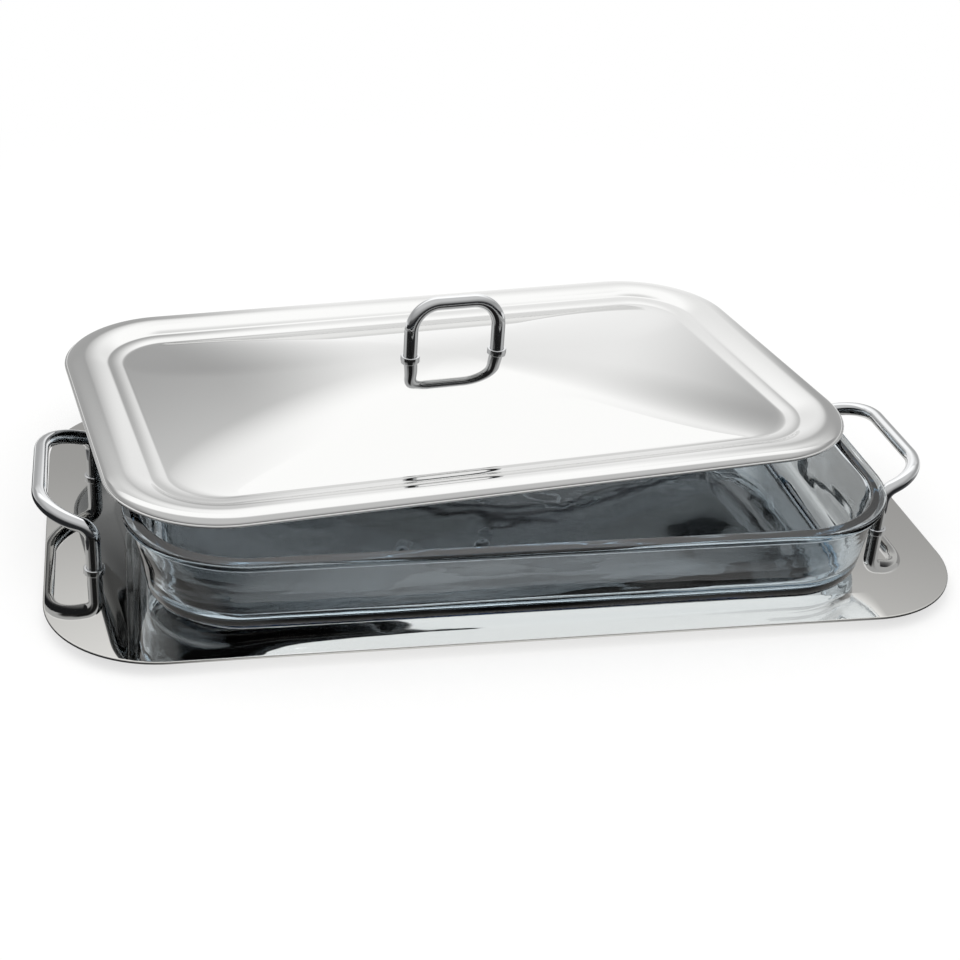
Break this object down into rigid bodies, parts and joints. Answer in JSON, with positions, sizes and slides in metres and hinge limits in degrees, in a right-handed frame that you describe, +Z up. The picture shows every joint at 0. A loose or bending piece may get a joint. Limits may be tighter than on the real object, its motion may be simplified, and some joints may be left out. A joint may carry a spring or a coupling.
{
  "type": "food warmer",
  "caption": "Glass baking dish on a mirror-polished tray with bent-rod handles, half covered by a loose domed stainless lid; keeps cooked food warm at the table.",
  "frame": {"origin": "on the table, under the middle of the whole object as it lies in the picture, with the lid askew", "axes": "+X along the long side of the tray, +Z up, and the open front of the dish faces -Y"},
  "size_m": [0.49, 0.3384, 0.1122],
  "materials": {
    "polished_stainless": "mirror-polished stainless steel",
    "bright_steel": "bright zinc-plated steel",
    "clear_glass": "clear pressed glass, fire-polished",
    "black_rubber": "moulded black rubber, matt"
  },
  "bodies": {
    "tray": {"serving_tray": "polished_stainless", "tray_feet": "black_rubber", "tray_handle_left": "polished_stainless", "tray_handle_right": "polished_stainless", "tray_handle_collars": "polished_stainless", "tray_handle_washers": "bright_steel", "tray_handle_screws": "bright_steel"},
    "dish": {"glass_dish": "clear_glass"},
    "lid": {"lid_shell": "polished_stainless", "lid_handle": "polished_stainless", "lid_handle_collars": "polished_stainless", "lid_handle_washers": "bright_steel", "lid_handle_screws": "bright_steel"}
  },
  "joints": [
    {"name": "dish_lift", "type": "slide", "parent": "tray", "child": "dish", "axis": [0, 0, 1], "range_m": [0, 0.12]},
    {"name": "lid_lift", "type": "slide", "parent": "dish", "child": "lid", "axis": [0, 0, 1], "range_m": [0, 0.15]}
  ]
}
